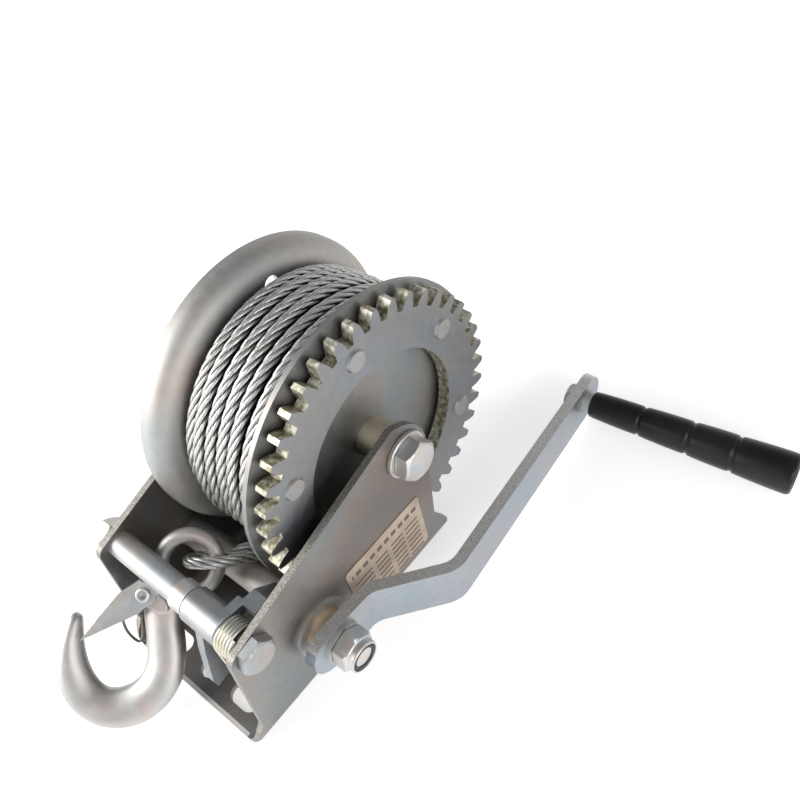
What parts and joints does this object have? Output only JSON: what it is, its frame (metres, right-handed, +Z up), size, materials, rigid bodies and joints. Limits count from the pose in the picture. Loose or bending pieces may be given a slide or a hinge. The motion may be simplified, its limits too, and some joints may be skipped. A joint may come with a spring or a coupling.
{
  "type": "boat trailer winch",
  "caption": "Geared hand winch in a folded zinc plated frame, with wire rope and latched slip hook on its drum, anti-reverse pawl, and a crank arm with a turning grip.",
  "frame": {"origin": "centre of the four base slots, on the underside of the base", "axes": "+X along the drum axle towards the crank, -Y towards the front where the rope leaves, +Z up"},
  "size_m": [0.2501, 0.3176, 0.1623],
  "materials": {
    "zinc_sheet": "zinc plated sheet, semi-matt with a faint yellow-grey tint",
    "zinc_drum": "zinc plated pressings, satin with concentric marks",
    "zinc_gear": "zinc plated, sheared tooth edges brighter",
    "zinc_arm": "bright zinc plated flat bar, blued",
    "zinc_tube": "bright zinc plated, smooth",
    "zinc_bright": "bright zinc plated fasteners",
    "forged_zinc": "forged, blasted and zinc plated, dull",
    "spring_steel": "plated spring steel",
    "wire_rope": "galvanised stranded wire rope",
    "aluminium_sleeve": "pressed aluminium",
    "bronze": "oiled sintered bronze",
    "label_film": null,
    "black_nylon": "nylon",
    "black_plastic": "moulded, semi-gloss"
  },
  "bodies": {
    "frame": {"frame": "zinc_sheet", "rating_label": "label_film", "bearing_ring": "zinc_bright", "shaft_bush_right": "bronze", "shaft_bush_left": "bronze", "axle_bolt": "zinc_bright", "axle_washer_right": "zinc_bright", "axle_washer_left": "zinc_bright", "axle_nut": "zinc_bright", "axle_sleeve": "zinc_bright", "front_tube": "zinc_tube", "front_collar": "zinc_bright", "front_bolt": "zinc_bright", "front_nut": "zinc_bright", "pawl_spring": "spring_steel", "hook_body": "forged_zinc", "latch_rivet": "zinc_bright", "latch_spring": "spring_steel", "rope_loop": "wire_rope", "rope_tail": "wire_rope", "rope_ferrule": "aluminium_sleeve"},
    "drum": {"drum_core": "zinc_drum", "drum_flange_left": "zinc_drum", "drum_flange_right": "zinc_drum", "drum_gear": "zinc_gear", "gear_rivets": "zinc_gear", "gear_spacers": "zinc_gear", "drum_hub": "zinc_tube", "rope_winding": "wire_rope", "rope_anchor_saddle": "zinc_bright", "rope_anchor_screws": "zinc_bright"},
    "crank": {"crank_shaft": "zinc_bright", "drive_pinion": "zinc_gear", "shaft_sleeve": "zinc_tube", "crank_arm": "zinc_arm", "arm_washer": "zinc_bright", "shaft_nut": "zinc_bright", "nut_insert": "black_nylon", "shaft_circlip": "spring_steel", "grip_bolt": "zinc_bright", "grip_collar": "zinc_bright"},
    "grip": {"grip": "black_plastic"},
    "pawl": {"pawl": "zinc_tube"},
    "latch": {"hook_latch": "zinc_sheet"}
  },
  "joints": [
    {"name": "drum_spin", "type": "hinge", "parent": "frame", "child": "drum", "pos_m": [0, 0.0575, 0.0853], "axis": [1, 0, 0], "continuous": true},
    {"name": "crank_spin", "type": "hinge", "parent": "frame", "child": "crank", "pos_m": [0, -0.0167, 0.0356], "axis": [1, 0, 0], "continuous": true},
    {"name": "grip_spin", "type": "hinge", "parent": "crank", "child": "grip", "pos_m": [0.07129, 0.17609, 0.01534], "axis": [0.9932, 0.116, -0.0122], "continuous": true},
    {"name": "pawl_pivot", "type": "hinge", "parent": "frame", "child": "pawl", "pos_m": [0, -0.0493, 0.0673], "axis": [1, 0, 0], "range_deg": [-12, 20], "stiffness_Nm_per_rad": 0.6, "deforming": ["pawl_spring"]},
    {"name": "latch_pivot", "type": "hinge", "parent": "frame", "child": "latch", "pos_m": [-0.0269, -0.05554, 0.04958], "axis": [0.5131, -0.4517, 0.7299], "range_deg": [0, 38], "stiffness_Nm_per_rad": 0.03, "springref_deg": -28.65, "deforming": ["latch_spring"]}
  ],
  "couplings": [
    {"joint": "crank_spin", "follows": "drum_spin", "ratio": -4.1}
  ]
}
